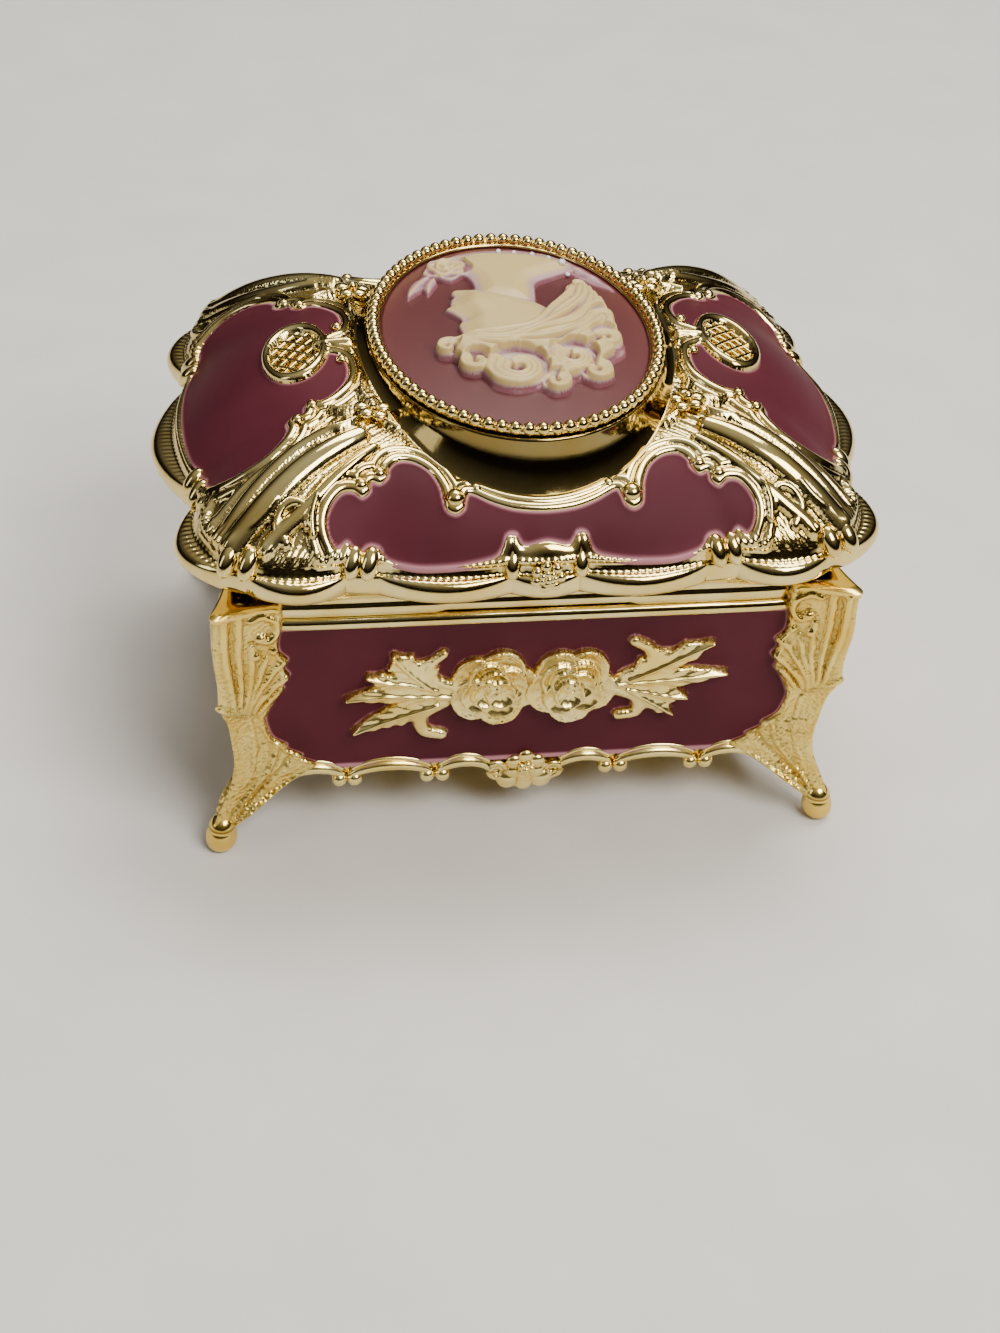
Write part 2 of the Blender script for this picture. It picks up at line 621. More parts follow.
def leaf(root_a, height, turn_deg, length, width, base):
    """A pointed leaf with a raised midrib, lying against the wall."""
    turn = math.radians(turn_deg)
    c, s = math.cos(turn), math.sin(turn)
    rings = []
    for along, share in ((0.0, 0.35), (0.3, 0.8), (0.55, 1.0), (0.8, 0.6), (1.0, 0.08)):
        half = width / 2 * share
        section = [(-half, 0.0), (half, 0.0), (half * 0.9, 0.45 * MM), (0.0, 1.0 * MM),
                   (-half * 0.9, 0.45 * MM)]
        ring = []
        for across, lift in section:
            a = root_a + along * length * c - across * s
            h = height + along * length * s + across * c
            ring.append((a, base + lift, h))
        rings.append(ring)
    return loft(rings)


def make_sprays():
    for name, along_x, sign in (("rose_spray_front", True, -1), ("rose_spray_rear", True, 1),
                                ("rose_spray_left", False, -1), ("rose_spray_right", False, 1)):
        base = (wall_y if along_x else wall_x)(SPRAY_HEIGHT + ROSE_RADIUS) + 2 * SEAT_GAP + ENAMEL
        roses = (-ROSE_SPACING / 2, ROSE_SPACING / 2) if along_x else (0.0,)
        end = roses[-1] + ROSE_RADIUS - 2.0 * MM
        shapes = [rose(a, SPRAY_HEIGHT, base) for a in roses]
        tip = LEAF_RISE * (RIM_HEIGHT - BASE_HEIGHT)
        tilt = math.degrees(math.asin(tip / (LEAF_LENGTH * SIDE_LEAF)))
        for flip in (1, -1):
            for turn, share in ((4, 1.0), (tilt, SIDE_LEAF), (-0.9 * tilt, SIDE_LEAF)):
                angle = turn if flip > 0 else 180 - turn
                reach = LEAF_LENGTH * share * (1.0 if along_x else 0.7)
                shapes.append(leaf(flip * end, SPRAY_HEIGHT, angle, reach, LEAF_WIDTH, base))
        turned_shapes = []
        for points, faces in shapes:
            placed = [(a, sign * b, h) if along_x else (sign * b, a, h) for a, b, h in points]
            turned_shapes.append((placed, faces))
        spray = solid(name, turned_shapes[0], GILT)
        parts = [solid(f"{name}_{i}", s, GILT, cutter=True) for i, s in enumerate(turned_shapes[1:])]
        combine(spray, parts, "UNION")


# Lid

RIM_X = BODY_WIDTH / 2 + RIM_OVER_X
RIM_Y = BODY_DEPTH / 2 + RIM_OVER_Y


def rim_quarter():
    """Cusps of the lid rim from mid front to mid side, each with the swell and steps after it."""
    corner_x, corner_y = RIM_X - CORNER_IN_X, RIM_Y - CORNER_IN_Y
    half = PAIR_WIDTH / 2
    return [
        ((ROSETTE_WIDTH / 2, RIM_Y), LOBE_FRONT, 5),
        ((FRONT_PAIR_X - half, RIM_Y - 1.0 * MM), 0.0, 1),
        ((FRONT_PAIR_X + half, RIM_Y - 1.5 * MM), LOBE_FRONT_END, 4),
        ((corner_x - half * 0.7, corner_y + 0.6 * MM), 0.0, 1),
        ((corner_x + half * 0.7, corner_y - 0.6 * MM), LOBE_SIDE_END, 5),
        ((RIM_X - 0.6 * MM, SIDE_PAIR_Y + half), 0.0, 1),
        ((RIM_X, SIDE_PAIR_Y - half), LOBE_SIDE, 6),
    ]


def rim_stations():
    """Round the rim from the front rosette: (knob-line point, lower lobe point, whether a knob stands there)."""
    quarter = rim_quarter()
    cusps = [((x, -y), swell, steps) for (x, y), swell, steps in quarter]
    rear = []
    for i in range(len(quarter) - 1, -1, -1):
        swell, steps = (quarter[i - 1][1], quarter[i - 1][2]) if i else (LOBE_FRONT * 0.6, 3)
        rear.append((quarter[i][0], swell, steps))
    right = cusps + rear
    left = []
    for (x, y), _, _ in right:
        left.append((-x, -y))
    loop = [(p, swell, steps) for p, swell, steps in right]
    loop += [(left[i], right[i][1], right[i][2]) for i in range(len(right))]
    stations = []
    for i, (start, swell, steps) in enumerate(loop):
        stop = loop[(i + 1) % len(loop)][0]
        dx, dy = stop[0] - start[0], stop[1] - start[1]
        size = math.hypot(dx, dy)
        normal = (dy / size, -dx / size)
        for k in range(steps):
            t = k / steps
            bulge = swell * math.sin(math.pi * t) ** 0.8
            x, y = start[0] + dx * t, start[1] + dy * t
            top = (x + 0.45 * bulge * normal[0], y + 0.45 * bulge * normal[1])
            low = (x + bulge * normal[0], y + bulge * normal[1])
            stations.append((top, low, k == 0))
    return stations


STATIONS = rim_stations()


def boxed(direction, half_x, half_y):
    """Where a ray from the middle meets a rectangle with softened corners."""
    x, y = direction
    reach = ((abs(x) / half_x) ** 14 + (abs(y) / half_y) ** 14) ** (-1 / 14)
    return x * reach, y * reach


def oval(direction, half_x, half_y):
    x, y = direction
    reach = 1 / math.hypot(x / half_x, y / half_y)
    return x * reach, y * reach


def dome(station, t, lift=0.0):
    """A point of the dome between the knob line (t = 0) and the foot of the cup (t = 1)."""
    kx, ky = station[0]
    ex, ey = oval((kx, ky), CUP_WIDTH / 2 + CUP_FLARE_X, CUP_LENGTH / 2 + CUP_FLARE_Y)
    sideways = (ex / (CUP_WIDTH / 2 + CUP_FLARE_X)) ** 2
    rise = DOME_FRONT + (DOME_SIDE - DOME_FRONT) * sideways
    corner = math.exp(-((abs(kx / ky) - RIM_X / RIM_Y) / 0.22) ** 2) if ky else 0.0
    hip = HIP_RISE * corner * math.sin(math.pi * min(max(t, 0.0), 1.0)) ** 0.5
    z = KNOB_Z + rise * (1 - max(1 - t, 0.0) ** DOME_CURVE) + hip + lift
    return kx + (ex - kx) * t, ky + (ey - ky) * t, z


def flange_ring(z, out, corner_in, swing=0.0, notch=0.0):
    """The band under the rim: proud between the legs, drawn in beside them, notched for the thumb."""
    ring = []
    for top, *_ in STATIONS:
        x, y = boxed(top, BODY_WIDTH / 2, BODY_DEPTH / 2)
        swings = abs(x) > REACH_X - 3 * LEG_SWING and y > REACH_Y - 3 * LEG_SWING
        beside = abs(x) > REACH_X and abs(y) > REACH_Y
        near = -corner_in - swing if swings else -corner_in if beside else out
        x, y = boxed(top, BODY_WIDTH / 2 + near, BODY_DEPTH / 2 + near)
        front = y < -REACH_Y and abs(x) < THUMB_WIDTH / 2
        ring.append((x, y, z + notch if front else z))
    return ring


def station_place(station):
    """Which of the lid's sides a station belongs to, and its count from the middle of that side."""
    kx, ky = abs(station[0][0]), abs(station[0][1])
    front = ky * RIM_X > kx * RIM_Y
    nearer = set()
    for (x, y), *_ in STATIONS:
        same = (abs(y) * RIM_X > abs(x) * RIM_Y) == front
        here = round(abs(x if front else y), 7)
        if same and here < round(kx if front else ky, 7):
            nearer.add(here)
    return front, len(nearer)


def dome_rows(station):
    """The cast relief at one station: (share of the way to the cup, lift) from the rim to the cup's foot."""
    front, count = station_place(station)
    spans = FRONT_PANEL if front else SIDE_PANEL
    rim = (0.0, KNOB_RISE if station[2] else 0.0)
    if count < len(spans):
        low, high = spans[count]
        foot = dome(station, 1.0)
        rib = RIB_HALF / math.hypot(foot[0] - station[0][0], foot[1] - station[0][1])
        rib = min(rib, RIB_ROOM * (1 - high))
        rail = RIB_RISE if front and count < 4 else 0.0
        inner, outer = low + 0.4 * rib, high - 0.4 * rib
        third = (outer - inner) / 3
        return [rim, (low - rib, RIB_RISE), (inner, -ENAMEL_SINK), (inner + third, -ENAMEL_SINK),
                (outer - third, -ENAMEL_SINK), (outer, -ENAMEL_SINK), (high + rib, RIB_RISE),
                (min(high + 2.4 * rib, 0.97), rail)]
    if count == len(spans):
        return [rim] + [(t, RIB_RISE) for t in END_ROWS[:-1]] + [(END_ROWS[-1], 0.0)]
    ridge = RIB_RISE if count > len(spans) + 1 else 0.0
    return [rim] + [(t, ridge) for t in HIP_ROWS]


def dome_at(x, y, lift):
    """The point of the dome over a place in plan."""
    for start, stop in zip(STATIONS, STATIONS[1:] + STATIONS[:1]):
        (x0, y0), (x1, y1) = start[0], stop[0]
        before, after = x0 * y - y0 * x, x1 * y - y1 * x
        if before >= 0 > after and x0 * x + y0 * y > 0:
            share = before / (before - after)
            knob = x0 + (x1 - x0) * share, y0 + (y1 - y0) * share
            foot = oval(knob, CUP_WIDTH / 2 + CUP_FLARE_X, CUP_LENGTH / 2 + CUP_FLARE_Y)
            reach = math.hypot(*knob)
            t = (reach - math.hypot(x, y)) / (reach - math.hypot(*foot))
            return dome((knob,), t, lift)
    return x, y, KNOB_Z + lift


def cup_ring(share, inset=0.0, z=None):
    """A ring of the cup's wall: share 0 is its foot on the dome, 1 its top."""
    ring = []
    for station in STATIONS:
        foot = dome(station, 1.0)
        spread = (1 - share) ** 2
        half_x = CUP_WIDTH / 2 + CUP_FLARE_X * spread - inset
        half_y = CUP_LENGTH / 2 + CUP_FLARE_Y * spread - inset
        x, y = oval(station[0], half_x, half_y)
        ring.append((x, y, foot[2] + (CUP_TOP - foot[2]) * share if z is None else z))
    return ring


def make_lid(pivot):
    low_z = RIM_HEIGHT + RIM_LOW
    inside = LID_WALL
    ceiling = []
    for station in STATIONS:
        x, y = oval(station[0], CUP_WIDTH / 2 * 0.76, CUP_LENGTH / 2 * 0.76)
        ceiling.append((x, y, CUP_TOP - SEAT_DEPTH - inside))
    shoulder = []
    for station in STATIONS:
        x, y, z = dome(station, 1.0)
        shoulder.append((x * 0.92, y * 0.92, z - inside))
    mid = []
    for station in STATIONS:
        x, y, z = dome(station, 0.5)
        mid.append((x, y, z - inside - 0.6 * MM))
    inner = BODY_WIDTH / 2 + 0.6 * MM, BODY_DEPTH / 2 + 0.2 * MM
    rise = 0.45 * (KNOB_Z - low_z)
    cast = [dome_rows(s) for s in STATIONS]
    rings = [
        ceiling,
        shoulder,
        mid,
        [(*boxed(top, *inner), low_z + 0.8 * MM) for top, *_ in STATIONS],
        flange_ring(FLANGE_TOP, -WALL, WALL + 0.2 * MM),
        flange_ring(LID_BASE, -WALL, WALL + 0.2 * MM, notch=THUMB_DEEP),
        flange_ring(LID_BASE, BEAD_OUT, 0.2 * MM, LEG_SWING, THUMB_DEEP),
        flange_ring(FLANGE_TOP, BEAD_OUT, 0.2 * MM, LEG_SWING),
        [(x, y, low_z) for _, (x, y), _ in STATIONS],
        [((a + 2 * x) / 3, (b + 2 * y) / 3, low_z + rise) for (a, b), (x, y), _ in STATIONS],
    ]
    for i in range(len(cast[0])):
        rings.append([dome(s, *rows[i]) for s, rows in zip(STATIONS, cast)])
    rings += [
        cup_ring(0.0),
        cup_ring(0.5),
        cup_ring(1.0),
        cup_ring(1.0, inset=CUP_LIP),
        cup_ring(1.0, inset=CUP_LIP, z=CUP_TOP - SEAT_DEPTH),
    ]
    solid("lid_shell", loft(rings), GILT, pivot, pivot.location)


def make_lid_enamel(pivot):
    """Enamel in the sunk fields of the dome, one panel to a side, laid over the dome's own stations."""
    for name, front, sign in (("front", True, -1), ("rear", True, 1), ("left", False, -1), ("right", False, 1)):
        spans = FRONT_PANEL if front else SIDE_PANEL
        columns = []
        for station in STATIONS:
            side, count = station_place(station)
            if side == front and count < len(spans) and station[0][1 if front else 0] * sign > 0:
                columns.append(station)
        # from one end of the panel to the other, the same way round on every side
        columns.sort(key=lambda s: sign * (-s[0][0] if front else s[0][1]))
        rings = []
        for station in columns:
            field = dome_rows(station)[2:6]
            top = [dome(station, t, lift + SEAT_GAP + ENAMEL) for t, lift in field]
            bottom = [dome(station, t, lift + SEAT_GAP) for t, lift in field]
            rings.append(top + bottom[::-1])
        solid(f"lid_enamel_{name}", loft(rings), ENAMELLED, pivot, pivot.location)


def make_medallions(pivot):
    """An oval plaited medallion on each side panel of the lid."""
    under = SEAT_GAP + ENAMEL - ENAMEL_SINK + SEAT_GAP
    for name, sign in (("medallion_left", -1), ("medallion_right", 1)):
        rings = []
        for share, lift in ((0.45, 0.0), (1.0, 0.0), (1.0, MEDALLION_RISE), (0.74, MEDALLION_RISE),
                            (0.68, 0.5 * MEDALLION_RISE), (0.3, 0.5 * MEDALLION_RISE)):
            ring = []
            for i in range(20):
                turn = 2 * math.pi * i / 20
                x = sign * (MEDALLION_X + MEDALLION_WIDTH / 2 * share * math.cos(turn))
                y = MEDALLION_LENGTH / 2 * share * math.sin(turn)
                ring.append(dome_at(x, y, under + lift))
            rings.append(ring)
        solid(name, loft(rings), GILT, pivot, pivot.location)


# Cameo

def make_bead_ring(pivot):
    """A strip of beads soldered round the lip, drawn as a wire that swells once for each bead."""
    count = BEAD_COUNT * 2
    half_x = CUP_WIDTH / 2 - BEAD_RADIUS * 0.9
    half_y = CUP_LENGTH / 2 - BEAD_RADIUS * 0.9
    z = CUP_TOP + SEAT_GAP + BEAD_RADIUS
    rings = []
    for i in range(count):
        turn = 2 * math.pi * i / count
        x, y = half_x * math.cos(turn), half_y * math.sin(turn)
        out = Vector((x / half_x ** 2, y / half_y ** 2, 0)).normalized()
        size = BEAD_RADIUS * (1.0 if i % 2 else 0.62)
        ring = []
        for k in range(4):
            around = math.radians(45 + 90 * k)
            side, lift = size * 1.25 * math.cos(around), size * 1.25 * math.sin(around)
            ring.append((x + out.x * side, y + out.y * side, z + lift))
        rings.append(ring)
    solid("bezel_bead_ring", loft(rings, ends=False), GILT, pivot, pivot.location)


PLAQUE_X = CUP_WIDTH / 2 - CUP_LIP - SEAT_GAP
PLAQUE_Y = CUP_LENGTH / 2 - CUP_LIP - SEAT_GAP
PLAQUE_Z = CUP_TOP - SEAT_DEPTH + SEAT_GAP


def plaque_top(x, y):
    share = min((x / PLAQUE_X) ** 2 + (y / PLAQUE_Y) ** 2, 1.0)
    return CUP_TOP - 0.6 * MM + PLAQUE_CROWN * (1 - share)


def make_plaque(pivot):
    sides = 32
    rings = []
    for share, bottom in ((1.0, True), (1.0, False), (0.78, False), (0.5, False), (0.2, False)):
        ring = []
        for i in range(sides):
            x = PLAQUE_X * share * math.cos(2 * math.pi * i / sides)
            y = PLAQUE_Y * share * math.sin(2 * math.pi * i / sides)
            ring.append((x, y, PLAQUE_Z if bottom else plaque_top(x, y)))
        rings.append(ring)
    solid("cameo_plaque", loft(rings), ROSE_RESIN, pivot, pivot.location)


def bust_outline(turn_deg):
    """Reach of the bust from its middle: dressed hair to the front, a neck, draped shoulders to the back."""
    knots = [(-180, 0.34), (-165, 0.40), (-140, 0.62), (-115, 0.82), (-90, 0.86), (-65, 0.80), (-40, 0.60),
             (-15, 0.36), (5, 0.32), (25, 0.46), (45, 0.78), (65, 0.88), (90, 0.92), (115, 0.88), (135, 0.78),
             (155, 0.46), (170, 0.34), (180, 0.34)]
    x, y = oval((math.cos(math.radians(turn_deg)), math.sin(math.radians(turn_deg))), PLAQUE_X, PLAQUE_Y)
    return through(knots, turn_deg) * math.hypot(x, y)


def bust_height(x, y):
    """Relief of the bust: swells for hair, face, neck and shoulders, in shares of the plaque's half sizes."""
    swells = ((0.0, -0.50, 0.55, 0.36, 1.0), (0.05, -0.20, 0.34, 0.30, 0.9), (0.0, 0.15, 0.26, 0.25, 0.6),
              (0.0, 0.62, 0.60, 0.28, 0.65))
    total = 0.0
    for cx, cy, rx, ry, share in swells:
        away = ((x / PLAQUE_X - cx) / rx) ** 2 + ((y / PLAQUE_Y - cy) / ry) ** 2
        total = max(total, share * math.exp(-away * 0.7))
    return BUST_RELIEF * (0.25 + 0.75 * total)


def make_bust(pivot):
    sides = 40
    rings = []
    for share, lift in ((1.0, 0.0), (1.0, 0.25), (0.88, 0.8), (0.64, 1.0), (0.38, 1.0), (0.14, 1.0)):
        ring = []
        for i in range(sides):
            turn_deg = -180 + 360 * i / sides
            reach = bust_outline(turn_deg) * share
            x = reach * math.cos(math.radians(turn_deg))
            y = reach * math.sin(math.radians(turn_deg))
            ring.append((x, y, plaque_top(x, y) + SEAT_GAP + bust_height(x, y) * lift))
        rings.append(ring)
    under = []
    for share in (0.66, 0.3):
        flat = [(x * share, y * share) for x, y, _ in rings[0]]
        under.append([(x, y, plaque_top(x, y) + SEAT_GAP) for x, y in flat])
    solid("cameo_bust", loft(under[::-1] + rings), CREAM_RESIN, pivot, pivot.location)


def make_lining(pivot):
    """The padded velvet board that closes the inside of the lid."""
    z = LID_BASE + 0.5 * MM
    half_x = BODY_WIDTH / 2 - WALL - 2 * SEAT_GAP
    half_y = BODY_DEPTH / 2 - WALL - 2 * SEAT_GAP
    rings = [rounded(half_x - 1.6 * MM, half_y - 1.6 * MM, 6 * MM, z, 4),
             rounded(half_x, half_y, 7 * MM, z + LINING_THICK * 0.5, 4),
             rounded(half_x, half_y, 7 * MM, z + LINING_THICK, 4)]
    solid("lid_lining", loft(rings), VELVET, pivot, pivot.location)


# Hinge

def hinge_leaf(name, plate, first, pivot=None):
    """A soldered hinge leaf: its plate, with every other knuckle of the row."""
    y0 = BODY_DEPTH / 2 + BEAD_OUT + SEAT_GAP
    z0, z1 = plate
    end = HINGE_LENGTH / 2
    plate_shape = block(-end, end, y0, y0 + LEAF_PLATE, z0, z1)
    leaf_body = solid(name, plate_shape, GILT, pivot, pivot.location if pivot else (0, 0, 0))
    pitch = HINGE_LENGTH / KNUCKLES
    barrels, bores = [], []
    for i in range(first, KNUCKLES, 2):
        x0 = -end + i * pitch + RUN_GAP / 2
        x1 = x0 + pitch - RUN_GAP
        near = z1 if z1 < HINGE_Z else z0
        web = [(y0 + LEAF_PLATE / 2, near), (HINGE_Y, HINGE_Z), (y0 + LEAF_PLATE / 2, 2 * near - HINGE_Z)]
        barrels.append(solid(f"{name}_web_{i}", prism(web, x0, x1, "X"), GILT, cutter=True))
        round_bar = turned([(HINGE_RADIUS, x0), (HINGE_RADIUS, x1)], 14, (0, HINGE_Y, HINGE_Z), "X")
        barrels.append(solid(f"{name}_knuckle_{i}", round_bar, GILT, cutter=True))
    bore = [(HINGE_PIN + RUN_GAP, -HINGE_LENGTH), (HINGE_PIN + RUN_GAP, HINGE_LENGTH)]
    bores.append(solid(f"{name}_bore", turned(bore, 10, (0, HINGE_Y, HINGE_Z), "X"), GILT, cutter=True))
    combine(leaf_body, barrels, "UNION")
    combine(leaf_body, bores, "DIFFERENCE")


def make_hinge(pivot):
    apart = LID_GAP / 2 + RUN_GAP
    hinge_leaf("hinge_leaf_body", (HINGE_Z - apart - LEAF_TALL, HINGE_Z - apart), 0)
    hinge_leaf("hinge_leaf_lid", (HINGE_Z + apart, HINGE_Z + apart + LEAF_TALL * 0.8), 1, pivot)
    end = HINGE_LENGTH / 2
    head = HINGE_RADIUS * 0.8
    pin = [(head, -end - 0.9 * MM), (head, -end - 0.2 * MM), (HINGE_PIN, -end - 0.2 * MM),
           (HINGE_PIN, end + 0.2 * MM), (head, end + 0.2 * MM), (head, end + 0.9 * MM)]
    solid("hinge_pin", turned(pin, 10, (0, HINGE_Y, HINGE_Z), "X"), BRASS, None, (0, HINGE_Y, HINGE_Z))


# Base plate, screws and tray

BED_SCREWS = ((-14.5 * MM, -9.0 * MM), (16.6 * MM, -8.4 * MM), (3.0 * MM, BED_BACK - 3.7 * MM))


def make_base():
    half_x = wall_x(PLATE_Z) - WALL - SEAT_GAP
    half_y = wall_y(PLATE_Z) - WALL - SEAT_GAP
    rings = [rounded(half_x, half_y, WALL_CORNER, z) for z in (PLATE_Z, PLATE_TOP)]
    plate = solid("base_plate", loft(rings), GILT)
    spots = screw_places() + [(ARBOR_X + x, ARBOR_Y + y) for x, y in BED_SCREWS]
    drills = []
    for i, (x, y) in enumerate(spots):
        size = SCREW_SHANK + SEAT_GAP
        hole = turned([(size, PLATE_Z - BASE_PLATE), (size, PLATE_TOP + BASE_PLATE)], 10, (x, y, 0))
        drills.append(solid(f"plate_drill_{i}", hole, GILT, cutter=True))
    size = ARBOR_RADIUS + 2 * RUN_GAP
    hole = turned([(size, PLATE_Z - BASE_PLATE), (size, PLATE_TOP + BASE_PLATE)], 16, (ARBOR_X, ARBOR_Y, 0))
    drills.append(solid("plate_arbor_hole", hole, GILT, cutter=True))
    combine(plate, drills, "DIFFERENCE")
    head_top = PLATE_Z - SEAT_GAP
    for i, (x, y) in enumerate(spots):
        base_screw = i < len(screw_places())
        end = LEDGE_TOP - 0.4 * MM - SEAT_GAP if base_screw else BED_TOP - 0.4 * MM - SEAT_GAP
        name = f"base_screw_{i + 1}" if base_screw else f"movement_screw_{i - 3}"
        profile = [(SCREW_HEAD * 0.7, head_top - SCREW_HEAD_TALL), (SCREW_HEAD, head_top - 0.3 * MM),
                   (SCREW_HEAD, head_top), (SCREW_SHANK, head_top), (SCREW_SHANK, end)]
        solid(name, turned(profile, 10, (x, y, 0)), STEEL)


def tray_block(name, inset, floor, top, split, cutter):
    """The tray's outside or its hollow: a deep well on the left that steps up to a shelf on the right."""
    cut = TRAY_CHAMFER

    def ring(x_low, x_high, z, narrow=0.0):
        shrink = WALL + SEAT_GAP + inset + narrow
        low, high = wall_y(z) - shrink, wall_y(top) - shrink
        return [(x_low, -low, z), (x_low, low, z), (x_high, high, top), (x_high, -high, top)]

    def side(z):
        return wall_x(z) - WALL - SEAT_GAP - inset

    shelf = SHELF_HEIGHT + inset
    rings = [ring(-side(floor), -side(top), floor, cut), ring(cut - side(floor), cut - side(top), floor),
             ring(split, split, floor), ring(split, split, shelf),
             ring(side(shelf) - cut, side(top) - cut, shelf), ring(side(shelf), side(top), shelf, cut)]
    return solid(name, loft(rings), VELVET, cutter=cutter)


def make_tray():
    floor = LEDGE_TOP + SEAT_GAP
    top = RIM_HEIGHT - TRAY_BELOW_RIM
    split = ARBOR_X - BED_LEFT - WELL_GAP
    tray = tray_block("velvet_tray", 0.0, floor, top, split, False)
    hollow = tray_block("tray_hollow", TRAY_WALL, floor + TRAY_WALL, top + 2 * MM, split - TRAY_WALL, True)
    size = PLUNGER_RADIUS + RUN_GAP
    hole = turned([(size, SHELF_HEIGHT - 1 * MM), (size, SHELF_HEIGHT + 3 * MM)], 12, (PLUNGER_X, FLY_Y, 0))
    combine(tray, [hollow, solid("tray_bush", hole, VELVET, cutter=True)], "DIFFERENCE")


# Movement

def gear_outline(teeth, root, tip, thick, centre=(0.0, 0.0), phase=0.0):
    """Straight-sided teeth of equal thickness at root and tip, four points each."""
    points = []
    for i in range(teeth):
        middle = 2 * math.pi * i / teeth + phase
        for radius, side in ((root, -1.25), (tip, -0.75), (tip, 0.75), (root, 1.25)):
            turn = middle + side * thick / 2 / radius
            points.append((centre[0] + radius * math.cos(turn), centre[1] + radius * math.sin(turn)))
    return points


def make_bedplate(pivot):
    x0, x1 = ARBOR_X - BED_LEFT, ARBOR_X + BED_RIGHT
    y0, y1 = ARBOR_Y - BED_FRONT, ARBOR_Y + BED_BACK
    cut = BED_CHAMFER
    outline = [(x0, y0), (x1 - cut, y0), (x1, y0 + cut), (x1, y1 - cut), (x1 - cut, y1), (x0, y1)]
    bed = solid("movement_bedplate", prism(outline, BED_Z, BED_TOP), ZINC, pivot, pivot.location)
    sunk = BED_TOP - 0.4 * MM
    comb_z = AXLE_Z - COMB_THICK / 2 - SEAT_GAP
    comb_x = ARBOR_X + CYLINDER_RADIUS + PIN_HEIGHT + RUN_GAP + COMB_TEETH
    post_half = SHAFT_RADIUS + RUN_GAP + 1.4 * MM
    adds = [
        block(ARBOR_X - post_half, ARBOR_X + post_half, ARBOR_Y + POST_1, ARBOR_Y + POST_1 + POST_THICK,
              sunk, AXLE_Z + post_half),
        block(GOVERNOR_X - post_half, ARBOR_X + post_half, ARBOR_Y + POST_2, ARBOR_Y + POST_2 + POST_THICK,
              sunk, AXLE_Z + post_half),
        block(comb_x, comb_x + COMB_BACK, ARBOR_Y + CYLINDER_0, ARBOR_Y + CYLINDER_1, sunk, comb_z),
    ]
    for x, y in BED_SCREWS:
        foot = [(2.4 * MM, PLATE_TOP + SEAT_GAP), (2.6 * MM, BED_Z + 0.4 * MM)]
        adds.append(turned(foot, 12, (ARBOR_X + x, ARBOR_Y + y, 0)))
    combine(bed, [solid(f"bed_add_{i}", s, ZINC, cutter=True) for i, s in enumerate(adds)], "UNION")
    bore = SHAFT_RADIUS + RUN_GAP
    wide = ARBOR_RADIUS + RUN_GAP
    cuts = [
        turned([(bore, POST_1 - 1 * MM), (bore, POST_2 + 3 * MM)], 12, (ARBOR_X, ARBOR_Y, AXLE_Z), "Y"),
        turned([(bore, POST_2 - 1 * MM), (bore, POST_2 + 3 * MM)], 12, (GOVERNOR_X, ARBOR_Y, AXLE_Z), "Y"),
        turned([(wide, BED_Z - 1 * MM), (wide, BED_TOP + 1 * MM)], 14, (ARBOR_X, ARBOR_Y, 0)),
    ]
    for x, y in BED_SCREWS:
        size = SCREW_SHANK + SEAT_GAP
        cuts.append(turned([(size, PLATE_TOP), (size, sunk)], 10, (ARBOR_X + x, ARBOR_Y + y, 0)))
    for y in comb_screw_places():
        size = SCREW_SHANK + SEAT_GAP
        place = (comb_x + COMB_BACK / 2, y, 0)
        cuts.append(turned([(size, comb_z - 3 * MM), (size, comb_z + 1 * MM)], 10, place))
    pivot_hole = SHAFT_RADIUS * 0.6 + RUN_GAP
    dimple = [(pivot_hole, BED_TOP - 0.8 * MM), (pivot_hole, BED_TOP + 1 * MM)]
    cuts.append(turned(dimple, 10, (FLY_X, FLY_Y, 0)))
    combine(bed, [solid(f"bed_cut_{i}", s, ZINC, cutter=True) for i, s in enumerate(cuts)], "DIFFERENCE")


def comb_screw_places():
    inset = 3.0 * MM
    return ARBOR_Y + CYLINDER_0 + inset, ARBOR_Y + CYLINDER_1 - inset


def make_comb(pivot):
    """The steel comb: one tooth for each note, longer towards the bass end."""
    tip = ARBOR_X + CYLINDER_RADIUS + PIN_HEIGHT + RUN_GAP
    back = tip + COMB_TEETH
    y0 = ARBOR_Y + CYLINDER_0
    pitch = CYLINDER_LENGTH / NOTES
    outline = [(back + COMB_BACK, y0), (back + COMB_BACK, y0 + CYLINDER_LENGTH)]
    for i in reversed(range(NOTES)):
        low, high = y0 + i * pitch + COMB_SLOT / 2, y0 + (i + 1) * pitch - COMB_SLOT / 2
        root = back - 2.4 * MM * i / NOTES
        outline += [(root, high), (tip, high), (tip, low), (root, low)]
    z = AXLE_Z - COMB_THICK / 2
    comb = solid("comb", prism(outline, z, z + COMB_THICK), STEEL, pivot, pivot.location)
    size = SCREW_SHANK + SEAT_GAP
    drills = []
    for i, y in enumerate(comb_screw_places()):
        x = back + COMB_BACK / 2
        hole = turned([(size, z - 1 * MM), (size, z + COMB_THICK + 1 * MM)], 10, (x, y, 0))
        drills.append(solid(f"comb_drill_{i}", hole, STEEL, cutter=True))
        top = z + COMB_THICK + SEAT_GAP
        profile = [(SCREW_SHANK, z - 2.4 * MM), (SCREW_SHANK, top), (SCREW_HEAD, top),
                   (SCREW_HEAD, top + SCREW_HEAD_TALL)]
        solid(f"comb_screw_{i + 1}", turned(profile, 10, (x, y, 0)), STEEL, pivot, pivot.location)
    combine(comb, drills, "DIFFERENCE")


